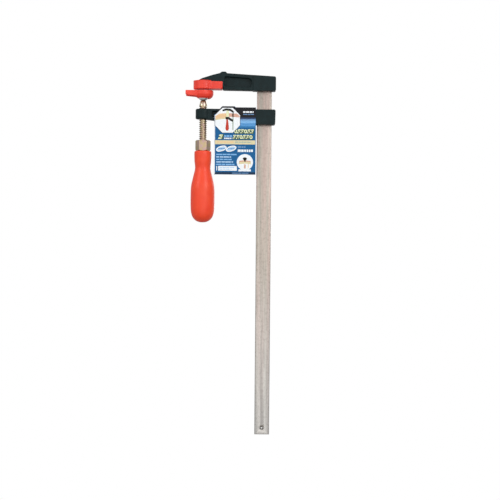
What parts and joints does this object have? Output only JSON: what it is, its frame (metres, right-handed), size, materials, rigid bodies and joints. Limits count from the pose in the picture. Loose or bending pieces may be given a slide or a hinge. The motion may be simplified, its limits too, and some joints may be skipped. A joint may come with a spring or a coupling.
{
  "type": "f clamp",
  "caption": "Screw clamp with a flat steel rail, a fixed arm, a sliding arm, a swivelling pad, soft jaw caps and a plastic handle.",
  "frame": {"origin": "centre of the fixed jaw's clamping face, on the screw's axis", "axes": "+Z along the rail towards the fixed arm, -Z is the way the fixed jaw faces, +X from the screw to the rail, Y across the clamp"},
  "size_m": [0.1342, 0.0358, 0.5391],
  "materials": {
    "rail_steel": "cold drawn, satin",
    "black_casting": "satin black paint on a casting",
    "spring_steel": "oiled",
    "red_cap": "satin",
    "printed_card": "printed, semi-gloss",
    "plated_screw": "yellow zinc plated",
    "red_handle": "semi-gloss",
    "zinc_shoe": "bright zinc plated"
  },
  "bodies": {
    "rail_and_fixed_arm": {"rail": "rail_steel", "fixed_arm": "black_casting", "rail_stop_pin": "spring_steel", "jaw_cap": "red_cap"},
    "sliding_arm": {"sliding_arm": "black_casting", "hang_card": "printed_card"},
    "screw_travel": {"pad_snap_ring": "spring_steel"},
    "screw": {"spindle": "plated_screw", "hex_collar": "plated_screw", "handle": "red_handle"},
    "swivel_pad": {"swivel_shoe": "zinc_shoe", "pad_cap": "red_cap"}
  },
  "joints": [
    {"name": "arm_slide", "type": "slide", "parent": "rail_and_fixed_arm", "child": "sliding_arm", "axis": [0, 0, -1], "range_m": [0, 0.445]},
    {"name": "screw_travel", "type": "slide", "parent": "sliding_arm", "child": "screw_travel", "axis": [0, 0, -1], "range_m": [0, 0.0075]},
    {"name": "screw_turn", "type": "hinge", "parent": "screw_travel", "child": "screw", "pos_m": [0, 0, -0.06], "axis": [0, 0, -1], "range_deg": [0, 900]},
    {"name": "pad_tilt", "type": "hinge", "parent": "screw_travel", "child": "swivel_pad", "pos_m": [0, 0, -0.0109], "axis": [0, 1, 0], "range_deg": [-7, 7]}
  ],
  "couplings": [
    {"joint": "screw_travel", "follows": "screw_turn", "m_per_rad": 0.00047746}
  ]
}
